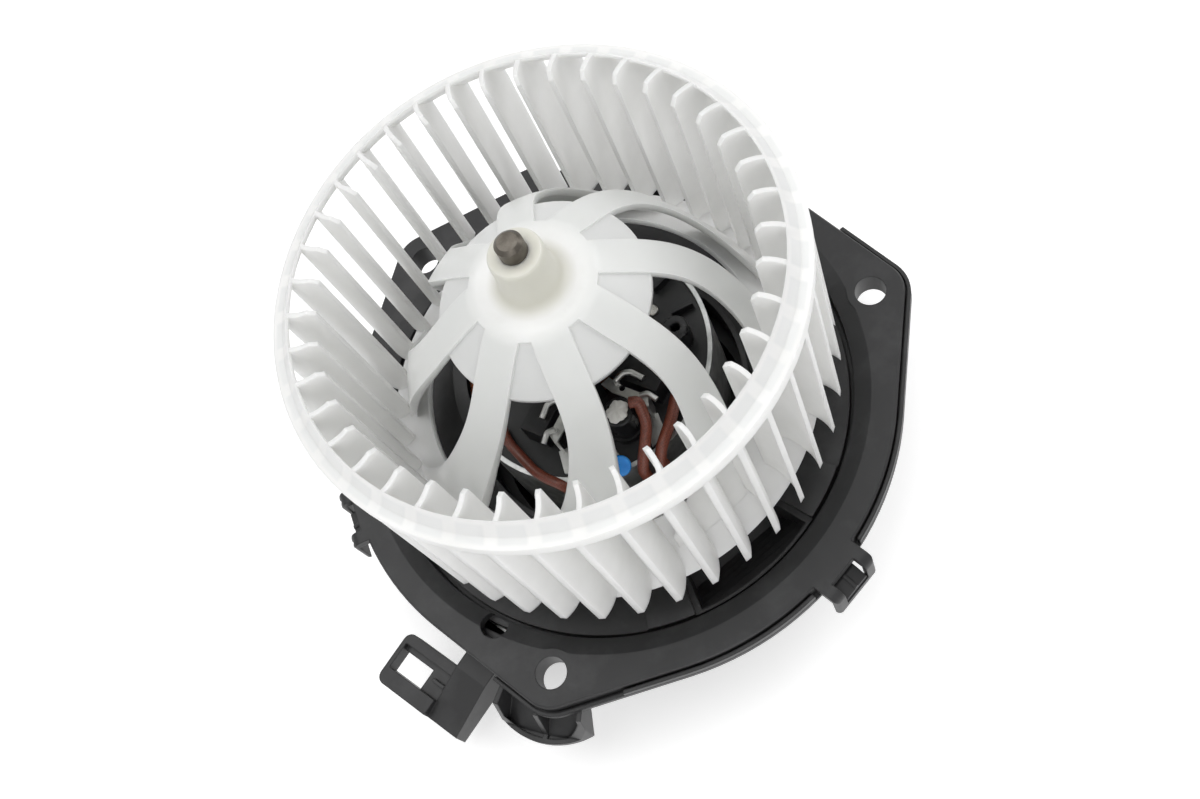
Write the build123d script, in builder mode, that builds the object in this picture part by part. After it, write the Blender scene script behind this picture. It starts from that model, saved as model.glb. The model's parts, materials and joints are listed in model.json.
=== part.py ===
from build123d import *
from math import cos, degrees, radians, sin, tan
import os

# Car cabin blower: fan wheel on a brushed motor in a flanged housing.
# Millimetres. The origin is on the motor axis, in the flange's upper face, and +Z points along
# the shaft towards the wheel. Angles are in degrees about +Z, counted from +X.

# Running and seating clearances
bearing_gap = 0.03
seat_gap = 0.05
brush_gap = 0.3
loose_gap = 0.3

# Shaft
shaft_radius = 4.0
shaft_top = 106.3
shaft_bottom = -40.0
shaft_chamfer = 1.1

# Fan wheel: the radii of its blades, rings, arms and cap are shares of the wheel's own
wheel_radius = 76.0
arm_count = 8
blades_per_arm = 5
blade_count = arm_count * blades_per_arm
blade_phase = 0.5
blade_root_share = 0.809
blade_mid_share = 0.901
blade_root_radius = blade_root_share * wheel_radius
blade_mid_radius = blade_mid_share * wheel_radius
blade_mid_angle = 0.1
blade_tip_angle = -3.9
blade_overrun = 0.6
blade_inset = 0.3
blade_thickness = 1.4
blade_foot = 11.8
blade_top = 90.4
blade_corner = 2.0

ring_foot = 80.8
ring_edge = 1.3
ring_inner_share = 0.916
ring_inner_radius = ring_inner_share * wheel_radius
ring_top = 89.8
ring_thickness = 1.5

cone_inner_share = 0.7
cone_outer_share = 0.909
cone_inner_radius = cone_inner_share * wheel_radius
cone_outer_radius = cone_outer_share * wheel_radius
cone_inner_height = 22.4
cone_outer_height = 10.6
cone_thickness = 1.6

arm_phase = 31.8
arm_thickness = 2.2
arm_landing = 0.5
cap_share = 0.405
cap_radius = cap_share * wheel_radius
cap_thickness = 1.2
cap_sink = 0.4
cap_height = 73.2
shoulder_share = 0.58
shoulder_height = 57.9
hip_share = 0.697
hip_height = 39.6
web_share = 0.243
arm_shares = [web_share, 0.413, 0.526, 0.658, 0.737, 0.796]
leading_angles = [17.0, 10.3, 6.9, 0.2, -5.8, -11.0]
trailing_angles = [-17.0, -10.3, -10.1, -17.3, -27.2, -38.0]

boss_radius = 9.9
boss_top = 100.6
boss_root_height = 88.6
boss_flare = 3.0
boss_hollow = 0.8
boss_edge = 0.9
sleeve_radius = 7.6
sleeve_foot = 66.0

# Motor yoke
yoke_radius = 39.9
yoke_wall = 1.4
yoke_top = 33.0
yoke_foot = -37.0
pocket_depth = 6.0
vent_count = 4
vent_radius = 4.5
vent_circle = 23.0

# Magnets and armature
pole_count = 4
magnet_thickness = 4.2
magnet_length = 44.0
magnet_foot = -25.0
magnet_arc = 72.0
magnet_phase = 45.0
air_gap = 0.8
slot_count = 12
slot_mouth = 2.4
slot_width = 5.6
slot_depth = 13.0
slot_inset = 2.0
core_length = 32.0
core_foot = -19.0
end_turn_height = 6.5
end_turn_inset = 3.0
end_turn_inner = 14.0
end_turn_round = 2.0

# Commutator, brush card and brush gear
commutator_radius = 11.0
commutator_foot = 25.0
commutator_top = 43.0
bar_gap = 0.7
bar_depth = 1.0
card_thickness = 3.0
card_level = 31.0
card_bore_gap = 1.5
card_rib_angles = [-8.0, 12.0, 145.0, 171.0]
card_rib_circle = 33.5
card_rib_length = 7.0
card_rib_wall = 1.2
card_rib_height = 3.2
shield_start = 141.0
shield_end = 176.0
shield_inner = 36.8
shield_outer = 41.2
shield_thickness = 1.3
cradle_wall = 0.9
cradle_height = 2.5
tower_radius = 14.6
tower_wall = 2.4
tower_leg_arc = 14.0
tower_leg_angles = [32.0, 122.0, -103.0]
tower_roof = 44.5
tower_top = 56.0
bearing_radius = 7.0
bearing_length = 8.0
bearing_edge = 1.2
retainer_thickness = 0.5
retainer_radius = 12.0
retainer_notch = 1.2
washer_radius = 6.4
washer_thickness = 0.8

brush_angles = [-58.0, -148.0]
brush_width = 6.0
brush_height = 5.0
brush_length = 12.0
box_wall = 0.8
box_start = 14.2
box_length = 15.0
brush_level = 37.0
plate_plan = [
    (0.2, -15.2),
    (3.2, -14.8),
    (5.6, -20.3),
    (9.2, -26.0),
    (7.4, -29.4),
    (5.2, -26.2),
    (4.0, -23.2),
    (1.6, -19.4),
]
plate_level = 40.2
plate_notch = (4.7, -20.2)
plate_notch_radius = 0.9
riser_plan = [(9.2, -26.0), (7.4, -29.4), (8.2, -29.9), (10.0, -26.5)]
tab_plan = [(6.0, -27.8), (9.6, -28.8), (8.2, -36.0), (2.8, -37.0), (3.8, -32.4)]
finger_radius = 0.9
finger_routes = [
    [(4.4, -17.4, 41.9), (7.4, -17.0, 42.6), (9.4, -18.0, 42.4), (11.4, -21.6, 41.7)],
    [(7.8, -26.0, 41.9), (10.0, -26.8, 42.5), (11.3, -29.8, 41.8)],
]
spring_radius = 1.9
spring_wire = 0.3
spring_turns = 4

# Suppression parts
capacitor_radius = 4.6
capacitor_top = 43.0
capacitor_place = (-0.2, -26.8)
capacitor_edge = 0.6
glue_height = 1.8
disc_radius = 3.1
disc_thickness = 2.2
disc_edge = 0.8
disc_place = (-8.0, -38.4, 35.7)
disc_tilt = 27.0
disc_wire = 0.35
disc_leg_spread = 1.1
disc_leg_run = 2.4
choke_radius = 3.0
choke_wire = 0.8
choke_length = 12.0
choke_distance = 33.0
choke_angle = 158.0
round_choke_radius = 4.0
round_choke_height = 9.0
round_choke_place = (27.6, -12.3)
rivet_shank = 1.0
rivet_radius = 1.9
rivet_height = 0.8
rivet_places = [(25.6, 1.3), (-20.0, 17.0), (6.0, 26.0)]

# Leads
wire_radius = 1.1
ground_wire = 0.8
ground_sleeve = 1.7
ground_route = [
    (4.1, -27.4, 45.0),
    (6.4, -28.6, 45.0),
    (5.2, -33.0, 38.8),
    (0.6, -38.6, 37.4),
    (-3.2, -42.1, 34.0),
    (-3.2, -42.1, 10.0),
    (-3.0, -40.0, 10.0),
]
ground_sleeve_end = 14.0
tube_radii = [1.75, 1.55]
tube_bore_gap = 0.1
lead_start = 33.0
lead_level = 35.5
chamber_level = -13.5
tube_end = -2.0
upright_radius = 2.1
upright_top = 29.0
upright_end = -4.0
lead_plans = [
    [(19.5, -26.0), (17.0, -28.8), (11.8, -34.6), (2.5, -42.25), (-6.0, -43.6), (-24.0, -49.0)],
    [(-32.0, -5.0), (-32.5, -11.5), (-29.8, -26.4), (-24.4, -34.6), (-31.0, -41.0)],
]
lead_drop_index = 3
bend_share = 0.45

# Flange housing
flange_radius = 91.6
lug_circle = 90.2
lug_radius = 10.8
lug_angles = [-12.0, -132.0, 108.0]
screw_radius = 5.0
screw_boss_radius = 7.6
flange_plate = 3.0
flange_depth = 5.0
lug_depth = 9.0
skirt_wall = 2.2
flange_edge = 0.5
step_radius = 83.7
step_drop = 1.8
groove_radius = 78.2
groove_width = 1.5
groove_depth = 8.5
floor_radius = groove_radius - groove_width
floor_height = -5.0
floor_wall = 2.0
collar_radius = 44.6
collar_wall = 1.8
collar_top = 4.0
duct_angle = -83.0
duct_half_angle = 15.8
duct_inner_radius = 50.0
duct_lip = 1.1
duct_outer_radius = floor_radius - duct_lip
duct_wall = 1.8
duct_ridges = 5
ramp_toe_radius = 62.0
segments = [(-112.0, -100.5), (-65.5, -52.0)]
segment_rise = 1.6
notch_radius = 4.4
notch_circle = 81.2
notch_angle = -147.5

# Snap tabs on the housing's edge: angle, width, reach and grip flutes of each
clips = [(-71.8, 18.0, 99.5, 0), (170.5, 20.0, 97.2, 7), (79.0, 16.0, 101.6, 0)]
clip_root = 89.0
clip_wall = 1.8
clip_drop = 13.0
clip_bend = 3.4
clip_round = 1.6
clip_window_share = 0.56
clip_window_depth = 4.8
clip_window_foot = -10.5
flute_radius = 1.0
flute_pitch = 2.6
catch_root = 84.0
catch_gap = 0.4
catch_level = -6.0
catch_fall = 2.2
catch_height = 1.8
catch_rib = 1.2
catch_rib_height = 0.7

# Lower cover
cover_top = -20.0
cover_plate = 2.2
cover_radius = 85.0
cover_wall = 2.0
lug_relief = 12.4
skirt_gap = 0.6
ledge_thickness = 1.3
ledge_start = -143.5
lip_wall = 1.2
lip_top = -1.5
lip_start = -118.0
lip_end = 4.0
low_lip_top = -3.6
lip_line_level = -3.9
lip_line_width = 0.5
lip_line_depth = 0.4
cup_wall = 2.0
cup_radius = 42.4
cup_foot = -46.0
cup_floor = 2.0
cup_drain = 4.0
damper_count = 3
damper_width = 16.0
damper_height = 9.0
damper_foot = -36.0
damper_phase = 30.0
cup_rib_count = 6
cup_rib_wall = 1.8
cup_rib_reach = 62.0
cup_rib_foot = -40.0
foot_radius = 110.0
foot_root = 95.0
foot_start = (106.0, -142.2)
foot_middle = (108.8, -132.0)
foot_end = (104.4, -126.0)
foot_wall = 1.6
foot_rib_angle = -134.2
foot_brow = 103.0
foot_rim = 106.4
foot_rim_level = -19.6
foot_scoop_top = -10.0
foot_scoop_foot = -20.6
bracket_angle = -156.0
bracket_root = 77.5
bracket_end = 116.6
frame_start = 97.8
frame_side = -20.2
frame_round = 3.0
frame_height = 6.2
frame_recess = 2.6
recess_start = 101.6
recess_side = -18.6
window_start = 103.6
window_end = 110.9
window_far = -6.0
recess_rib_place = 106.0
recess_rib_width = 1.2
recess_rib_length = 5.0
recess_rib_drop = 0.6
shroud_near = 1.4
shroud_side = 13.8
shroud_height = 12.0
shroud_wall = 1.6
shroud_back = 94.5
shroud_bend = 98.0
shroud_fall = 4.6
shroud_rise = 1.0
socket_top = -26.4
socket_foot = -30.4
terminal_sides = [10.0, 5.2]
terminal_level = -28.8
terminal_rise = 2.0
terminal_width = 3.6
terminal_thickness = 0.8
terminal_root = 79.5
terminal_end = 112.0
cover_screw_angles = [30.0, 140.0, -120.0]
cover_screw_circle = 70.0
cover_screw_radius = 1.6
cover_screw_head = 3.2
cover_screw_head_height = 2.0
cover_screw_length = 12.0
cover_screw_slot = 0.9
cover_post_radius = 3.6


def polar(radius, angle):
    """Point of the plan at a radius and an angle in degrees."""
    return (radius * cos(radians(angle)), radius * sin(radians(angle)))


def plan(height):
    """Level drawing plane at a height."""
    return Plane.XY.offset(height)


def radial(angle, radius=0, height=0):
    """Upright plane through a point: its x runs outwards, its y upwards."""
    return Plane(
        origin=(*polar(radius, angle), height),
        x_dir=(*polar(1, angle), 0),
        z_dir=(*polar(1, angle - 90), 0),
    )


def lying(angle, height=0):
    """Level plane whose x runs outwards at an angle."""
    return Plane(origin=(0, 0, height), x_dir=(*polar(1, angle), 0), z_dir=(0, 0, 1))


def sector(inner, outer, start, end):
    """Ring sector between two angles, as a level sketch."""
    with BuildSketch() as shape:
        with BuildLine():
            CenterArc((0, 0), inner, start, end - start)
            CenterArc((0, 0), outer, start, end - start)
            Line(polar(inner, start), polar(outer, start))
            Line(polar(inner, end), polar(outer, end))
        make_face()
    return shape.sketch


def flange_outline(grow=0.0):
    """Housing outline: the round flange and its three lugs, joined by tangents."""
    with BuildSketch() as shape:
        Circle(flange_radius + grow)
        with Locations(*[polar(lug_circle, angle) for angle in lug_angles]):
            Circle(lug_radius + grow)
        make_hull()
    return shape.sketch


def drum_outline(inset=0.0):
    """Cover outline: a circle with a hollow round each screw lug."""
    with BuildSketch() as shape:
        Circle(cover_radius - inset)
        with Locations(*[polar(lug_circle, angle) for angle in lug_angles]):
            Circle(lug_relief + inset, mode=Mode.SUBTRACT)
    return shape.sketch


def section(*points):
    """Closed radius and height outline, to be turned about the axis."""
    with BuildSketch(Plane.XZ) as shape:
        with BuildLine():
            Polyline(*points, close=True)
        make_face()
    return shape.sketch


def snap_tab(width, reach, flutes):
    """Tab bent down at the housing's edge, with a window for the cover's catch."""
    with BuildPart() as tab:
        with BuildSketch(Plane.XZ) as profile:
            with BuildLine():
                Polyline(
                    (clip_root, 0),
                    (reach, 0),
                    (reach, -clip_drop),
                    (reach - clip_wall, -clip_drop),
                    (reach - clip_wall, -flange_plate),
                    (clip_root, -flange_plate),
                    close=True,
                )
            make_face()
            fillet(profile.vertices().group_by(Axis.X)[-1].sort_by(Axis.Y)[-1], clip_bend)
        extrude(amount=width / 2, both=True)
        with BuildSketch(plan(-clip_drop)):
            with Locations(((clip_root + reach) / 2 - clip_round, 0)):
                RectangleRounded(reach - clip_root + 2 * clip_round, width, clip_round)
        extrude(amount=clip_drop, mode=Mode.INTERSECT)
        with Locations((reach - clip_window_depth, 0, clip_window_foot)):
            Box(
                2 * clip_window_depth,
                width * clip_window_share,
                -2 * clip_window_foot,
                align=(Align.MIN, Align.CENTER, Align.MIN),
                mode=Mode.SUBTRACT,
            )
        for flute in range(flutes):
            with Locations((reach, (flute - (flutes - 1) / 2) * flute_pitch, -clip_drop)):
                Cylinder(
                    flute_radius,
                    2 * clip_drop,
                    align=(Align.CENTER, Align.CENTER, Align.CENTER),
                    mode=Mode.SUBTRACT,
                )
    return tab.part


def snap_catch(width, reach):
    """Sloped catch of the cover, with a middle rib, that stands in a tab's window."""
    half_width = width * clip_window_share / 2 - catch_gap
    knee = reach - clip_window_depth
    tip = reach - catch_gap
    with BuildPart() as piece:
        for half, rise in ((half_width, 0), (catch_rib / 2, catch_rib_height)):
            with BuildSketch(Plane.XZ):
                with BuildLine():
                    Polyline(
                        (catch_root, catch_level + rise),
                        (knee, catch_level + rise),
                        (tip, catch_level - catch_fall + rise),
                        (tip, catch_level - catch_fall - catch_height),
                        (knee, catch_level - catch_height),
                        (catch_root, catch_level - catch_height),
                        close=True,
                    )
                make_face()
            extrude(amount=half, both=True)
    return piece.part


def bend_radii(points):
    """Bend radius at each inner corner of a lead, from the shorter run beside it."""
    radii = []
    for before, corner, after in zip(points, points[1:], points[2:]):
        run_in = Vector(corner) - Vector(before)
        run_out = Vector(after) - Vector(corner)
        turn = radians(run_in.get_angle(run_out))
        radii.append(bend_share * min(run_in.length, run_out.length) / tan(turn / 2))
    return radii


def save(piece, name):
    """Labels a finished piece and writes its file."""
    piece.label = name
    export_step(piece, f"parts/{name}.step")


os.makedirs("parts", exist_ok=True)

# Motor shaft, ground at both ends
with BuildPart() as motor_shaft:
    with Locations((0, 0, shaft_bottom)):
        Cylinder(shaft_radius, shaft_top - shaft_bottom, align=(Align.CENTER, Align.CENTER, Align.MIN))
    chamfer(motor_shaft.edges().filter_by(GeomType.CIRCLE), shaft_chamfer)
save(motor_shaft.part, "motor_shaft")

# Bell line that the cap and the arms share, from the boss out to the cone ring
cone_slope = (cone_inner_height - cone_outer_height) / (cone_outer_radius - cone_inner_radius)
landing_height = cone_inner_height - cone_slope * (blade_root_radius - cone_inner_radius)
bell_line = [
    (boss_radius, boss_root_height),
    (cap_radius, cap_height),
    (shoulder_share * wheel_radius, shoulder_height),
    (hip_share * wheel_radius, hip_height),
    (blade_root_radius, landing_height - arm_landing),
]

# One blade, cut to the outline that the ring, the cone and the open top leave it
with BuildPart() as blade:
    with BuildSketch(plan(cone_outer_height)):
        with BuildLine():
            ThreePointArc(
                (blade_root_radius - blade_overrun, 0),
                polar(blade_mid_radius, blade_mid_angle),
                polar(wheel_radius + blade_overrun, blade_tip_angle),
            )
        trace(line_width=blade_thickness)
    extrude(amount=blade_top - cone_outer_height)
    blade_tip = wheel_radius - blade_inset
    with BuildSketch(Plane.XZ):
        with BuildLine():
            Polyline(
                (blade_root_radius, landing_height),
                (cone_outer_radius - blade_inset, cone_outer_height),
                (cone_outer_radius - blade_inset, blade_foot),
                (blade_tip, blade_foot),
                (blade_tip, ring_foot + ring_edge - blade_inset),
                (ring_inner_radius, ring_top - blade_inset),
                (blade_root_radius + blade_corner, blade_top),
                (blade_root_radius, blade_top - blade_corner),
                close=True,
            )
        make_face()
    revolve(axis=Axis.Z, mode=Mode.INTERSECT)

# Opening between two arms, drawn in plan
with BuildPart() as window:
    arm_pitch = 360 / arm_count
    arm_radii = [share * wheel_radius for share in arm_shares]
    trailing = [polar(radius, angle + arm_pitch) for radius, angle in zip(arm_radii, trailing_angles)]
    leading = [polar(radius, angle) for radius, angle in zip(arm_radii, leading_angles)]
    window_rim = blade_root_radius + blade_corner
    with BuildSketch():
        with BuildLine():
            Spline(leading)
            Spline(trailing)
            ThreePointArc(leading[0], polar(arm_radii[0], arm_pitch / 2), trailing[0])
            Polyline(
                leading[-1],
                polar(window_rim, leading_angles[-1]),
                polar(window_rim, trailing_angles[-1] + arm_pitch),
                trailing[-1],
            )
        make_face()
    extrude(amount=boss_top)

with BuildPart() as blower_wheel:
    with BuildSketch(Plane.XZ):
        with BuildLine():
            Spline(bell_line)
        trace(line_width=arm_thickness)
    revolve(axis=Axis.Z)
    with PolarLocations(0, arm_count, start_angle=arm_phase):
        add(window.part, mode=Mode.SUBTRACT)
    # Thin cap between the arms
    with BuildSketch(Plane.XZ):
        with BuildLine():
            Spline([(radius, height - cap_sink) for radius, height in bell_line])
        trace(line_width=cap_thickness)
        with Locations((cap_radius, 0)):
            Rectangle(
                blade_root_radius, boss_top, align=(Align.MIN, Align.MIN), mode=Mode.SUBTRACT
            )
    revolve(axis=Axis.Z)
    # Lower cone ring that the blades and the arms stand on
    with BuildSketch(Plane.XZ):
        with BuildLine():
            Line((cone_inner_radius, cone_inner_height), (cone_outer_radius, cone_outer_height))
        trace(line_width=cone_thickness)
    revolve(axis=Axis.Z)
    # Top ring: a short upright edge under a cone that closes on the blades
    ring = section(
        (wheel_radius, ring_foot),
        (wheel_radius, ring_foot + ring_edge),
        (ring_inner_radius, ring_top),
        (ring_inner_radius, ring_top - ring_thickness),
        (wheel_radius - ring_thickness, ring_foot),
    )
    revolve(ring, axis=Axis.Z)
    # Boss with a soft foot, and the sleeve that grips the shaft below the cap
    with BuildSketch(Plane.XZ):
        with BuildLine():
            Polyline(
                (boss_radius + boss_flare, boss_root_height - boss_flare / 2),
                (sleeve_radius, boss_root_height - boss_flare),
                (sleeve_radius, sleeve_foot),
                (shaft_radius, sleeve_foot),
                (shaft_radius, boss_top),
                (boss_radius - boss_edge, boss_top),
                (boss_radius, boss_top - boss_edge),
                (boss_radius, boss_root_height + boss_flare),
            )
            SagittaArc(
                (boss_radius, boss_root_height + boss_flare),
                (boss_radius + boss_flare, boss_root_height - boss_flare / 2),
                boss_hollow,
            )
        make_face()
    revolve(axis=Axis.Z)
    with PolarLocations(0, blade_count, start_angle=blade_phase):
        add(blade.part)
save(blower_wheel.part, "blower_wheel")

# Yoke: a deep-drawn can with a bearing pocket in its floor
yoke_bore = yoke_radius - yoke_wall
pocket_foot = yoke_foot - pocket_depth
pocket_radius = bearing_radius + seat_gap + yoke_wall / 2
with BuildPart() as motor_yoke:
    with BuildSketch(Plane.XZ):
        with BuildLine():
            FilletPolyline(
                (0, pocket_foot),
                (pocket_radius, pocket_foot),
                (pocket_radius, yoke_foot),
                (yoke_radius - yoke_wall / 2, yoke_foot),
                (yoke_radius - yoke_wall / 2, yoke_top),
                radius=yoke_wall,
            )
        trace(line_width=yoke_wall)
        split(bisect_by=Plane.YZ, keep=Keep.TOP)
    revolve(axis=Axis.Z)
    with BuildSketch(plan(pocket_foot)):
        with PolarLocations(vent_circle, vent_count):
            Circle(vent_radius)
    extrude(amount=2 * pocket_depth, mode=Mode.SUBTRACT)
save(motor_yoke.part, "motor_yoke")

# Magnets against the yoke, one solid each
magnet_outer = yoke_bore - seat_gap
magnet_inner = magnet_outer - magnet_thickness
with BuildPart() as field_magnets:
    with BuildSketch(plan(magnet_foot)):
        for pole in range(pole_count):
            middle = magnet_phase + pole * 360 / pole_count
            half_arc = magnet_arc / 2
            add(sector(magnet_inner, magnet_outer, middle - half_arc, middle + half_arc))
    extrude(amount=magnet_length)
save(field_magnets.part, "field_magnets")

# Armature core with open slots
core_radius = magnet_inner - air_gap
with BuildPart() as armature_core:
    with BuildSketch(plan(core_foot)):
        Circle(core_radius)
        with PolarLocations(core_radius, slot_count):
            Rectangle(2 * slot_inset, slot_mouth, mode=Mode.SUBTRACT)
        with PolarLocations(core_radius - slot_inset - slot_depth / 2, slot_count):
            Rectangle(slot_depth, slot_width, mode=Mode.SUBTRACT)
        Circle(shaft_radius, mode=Mode.SUBTRACT)
    extrude(amount=core_length)
save(armature_core.part, "armature_core")

# Windings: a bar of wire in each slot and the wound heads over both faces
head_outer = core_radius - end_turn_inset
with BuildPart() as armature_windings:
    for face in (core_foot + core_length + seat_gap, core_foot - seat_gap - end_turn_height):
        with BuildSketch(Plane.XZ):
            with Locations(((head_outer + end_turn_inner) / 2, face + end_turn_height / 2)):
                RectangleRounded(head_outer - end_turn_inner, end_turn_height, end_turn_round)
        revolve(axis=Axis.Z)
    with BuildSketch(plan(core_foot - end_turn_height / 2)):
        with PolarLocations(core_radius - slot_inset - slot_depth / 2, slot_count):
            Rectangle(slot_depth - 2 * loose_gap, slot_width - 2 * loose_gap)
    extrude(amount=core_length + end_turn_height)
save(armature_windings.part, "armature_windings")

# Commutator with its bars cut free of each other
with BuildPart() as commutator:
    with BuildSketch(plan(commutator_foot)):
        Circle(commutator_radius)
        with PolarLocations(commutator_radius, slot_count):
            Rectangle(2 * bar_depth, bar_gap, mode=Mode.SUBTRACT)
        Circle(shaft_radius, mode=Mode.SUBTRACT)
    extrude(amount=commutator_top - commutator_foot)
save(commutator.part, "commutator")

# Brush gear is drawn for the first brush and mirrored about the line between the two
brush_middle = (brush_angles[0] + brush_angles[1]) / 2
brush_mirror = Plane(origin=(0, 0, 0), x_dir=(0, 0, 1), z_dir=(*polar(1, brush_middle + 90), 0))
brush_place = Location((0, 0, 0), (0, 0, brush_angles[0]))
box_bore_width = brush_width + 2 * seat_gap
box_bore_height = brush_height + 2 * seat_gap
box_end = box_start + box_length
box_top = brush_level + box_bore_height / 2 + box_wall
with BuildPart() as brush_boxes:
    with Locations(brush_place):
        with Locations((box_start, 0, card_level - seat_gap)):
            Box(
                box_length,
                box_bore_width + 2 * box_wall,
                box_top - card_level + seat_gap,
                align=(Align.MIN, Align.CENTER, Align.MIN),
            )
        with Locations((box_start - box_wall, 0, brush_level)):
            Box(
                box_length,
                box_bore_width,
                box_bore_height,
                align=(Align.MIN, Align.CENTER, Align.CENTER),
                mode=Mode.SUBTRACT,
            )
    mirror(about=brush_mirror)

# Brush card: plate, brush boxes, ribs, and the tower that carries the front bearing
card_radius = yoke_bore - seat_gap
bearing_base = tower_top - bearing_length
leg_inner = tower_radius - tower_wall
with BuildPart() as brush_card:
    with BuildSketch(plan(card_level - card_thickness)):
        Circle(card_radius)
        Circle(commutator_radius + card_bore_gap, mode=Mode.SUBTRACT)
    extrude(amount=card_thickness)
    add(brush_boxes.part)
    # Tower legs stand clear of the brush boxes
    with BuildSketch(plan(card_level - card_thickness)):
        for angle in tower_leg_angles:
            add(sector(leg_inner, tower_radius, angle - tower_leg_arc, angle + tower_leg_arc))
    extrude(amount=tower_top - card_level)
    tower = section(
        (bearing_radius + seat_gap, tower_top),
        (tower_radius, tower_top),
        (tower_radius, tower_roof),
        (shaft_radius + card_bore_gap, tower_roof),
        (shaft_radius + card_bore_gap, bearing_base - seat_gap),
        (bearing_radius + seat_gap, bearing_base - seat_gap),
    )
    revolve(tower, axis=Axis.Z)
    # Ribs that guide the leads at the edge of the card
    for angle in card_rib_angles:
        with BuildSketch(lying(angle, card_level)):
            with Locations((card_rib_circle, 0)):
                Rectangle(card_rib_length, card_rib_wall)
        extrude(amount=card_rib_height)
    # Shield over the yoke's edge beside the rod choke
    with BuildSketch(plan(card_level)):
        add(sector(shield_inner, card_radius, shield_start, shield_end))
    extrude(amount=yoke_top + loose_gap + shield_thickness - card_level)
    with BuildSketch(plan(yoke_top + loose_gap)):
        add(sector(shield_inner, shield_outer, shield_start, shield_end))
    extrude(amount=shield_thickness)
    for place in rivet_places:
        with Locations((*place, card_level)):
            Hole(rivet_shank)
    with Locations((*capacitor_place, card_level)):
        Cylinder(
            capacitor_radius + cradle_wall,
            cradle_height,
            align=(Align.CENTER, Align.CENTER, Align.MIN),
        )
        Cylinder(
            capacitor_radius + seat_gap,
            cradle_height,
            align=(Align.CENTER, Align.CENTER, Align.MIN),
            mode=Mode.SUBTRACT,
        )
save(brush_card.part, "brush_card")

# Card rivets with a head on the card's face
with BuildPart() as card_rivets:
    for place in rivet_places:
        with Locations((*place, card_level + seat_gap)):
            Cylinder(rivet_radius, rivet_height, align=(Align.CENTER, Align.CENTER, Align.MIN))
            Cylinder(
                rivet_shank - seat_gap,
                card_thickness,
                align=(Align.CENTER, Align.CENTER, Align.MAX),
            )
    fillet(card_rivets.edges().group_by(Axis.Z)[-1], rivet_height / 2)
save(card_rivets.part, "card_rivets")

# Stamped brush plates: an upper plate beside each box, a riser down to the card, and bent fingers
with BuildPart() as brush_holders:
    with BuildSketch(plan(plate_level)):
        with BuildLine():
            Polyline(*plate_plan, close=True)
        make_face()
        with Locations(plate_notch):
            Circle(plate_notch_radius, mode=Mode.SUBTRACT)
    extrude(amount=box_wall)
    with BuildSketch(plan(card_level + seat_gap)):
        with BuildLine():
            Polyline(*riser_plan, close=True)
        make_face()
    extrude(amount=plate_level + box_wall - card_level - seat_gap)
    with BuildSketch(plan(card_level + seat_gap)):
        with BuildLine():
            Polyline(*tab_plan, close=True)
        make_face()
    extrude(amount=box_wall)
    for points in finger_routes:
        with BuildLine() as route:
            FilletPolyline(*points, radius=finger_radius * 2)
        with BuildSketch(Plane(origin=route.line @ 0, z_dir=route.line % 0)):
            Circle(finger_radius)
        sweep(path=route.line)
        with Locations(points[0]):
            Cylinder(
                finger_radius,
                points[0][2] - plate_level,
                align=(Align.CENTER, Align.CENTER, Align.MAX),
            )
    mirror(about=brush_mirror)
save(brush_holders.part, "brush_holders")

# Carbon brushes, hollowed to the commutator
with BuildPart() as carbon_brushes:
    with Locations(brush_place):
        with Locations((commutator_radius, 0, brush_level)):
            Box(brush_length, brush_width, brush_height, align=(Align.MIN, Align.CENTER, Align.CENTER))
    with Locations((0, 0, brush_level)):
        Cylinder(commutator_radius + brush_gap, 2 * brush_height, mode=Mode.SUBTRACT)
    mirror(about=brush_mirror)
save(carbon_brushes.part, "carbon_brushes")

# Brush springs between the brush and the closed end of its box
spring_start = commutator_radius + brush_length + spring_wire + seat_gap
spring_end = box_end - box_wall - spring_wire - seat_gap
spring_length = spring_end - spring_start
with BuildPart() as brush_springs:
    with BuildLine() as coil:
        Helix(
            spring_length / spring_turns,
            spring_length,
            spring_radius,
            center=(spring_start, 0, 0),
            direction=(1, 0, 0),
        )
    with BuildSketch(Plane(origin=coil.line @ 0, z_dir=coil.line % 0)):
        RegularPolygon(spring_wire, 6)
    sweep(path=coil.line, is_frenet=True)
spring_place = Location((0, 0, brush_level), (0, 0, brush_angles[0]))
with BuildPart() as brush_spring_pair:
    with Locations(spring_place):
        add(brush_springs.part)
    mirror(about=brush_mirror)
save(brush_spring_pair.part, "brush_springs")

# Sleeve bearings with rounded outer edges
rear_base = pocket_foot + yoke_wall / 2 + seat_gap
for name, base in (("front_bearing", bearing_base), ("rear_bearing", rear_base)):
    with BuildPart() as bearing:
        with Locations((0, 0, base)):
            Cylinder(bearing_radius, bearing_length, align=(Align.CENTER, Align.CENTER, Align.MIN))
        fillet(bearing.edges().filter_by(GeomType.CIRCLE), bearing_edge)
        with Locations((0, 0, base)):
            Cylinder(
                shaft_radius + bearing_gap,
                bearing_length,
                align=(Align.CENTER, Align.CENTER, Align.MIN),
                mode=Mode.SUBTRACT,
            )
    save(bearing.part, name)

# Spring plates that hold the bearings down
rear_plate = yoke_foot + yoke_wall / 2 + seat_gap
for name, base, bore in (
    ("front_bearing_retainer", tower_top + seat_gap, shaft_radius + card_bore_gap),
    ("rear_bearing_retainer", rear_plate, bearing_radius + seat_gap),
):
    with BuildPart() as retainer:
        with BuildSketch(plan(base)):
            Circle(retainer_radius)
            Circle(bore, mode=Mode.SUBTRACT)
            with PolarLocations(retainer_radius, arm_count):
                Circle(retainer_notch, mode=Mode.SUBTRACT)
        extrude(amount=retainer_thickness)
    save(retainer.part, name)

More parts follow.
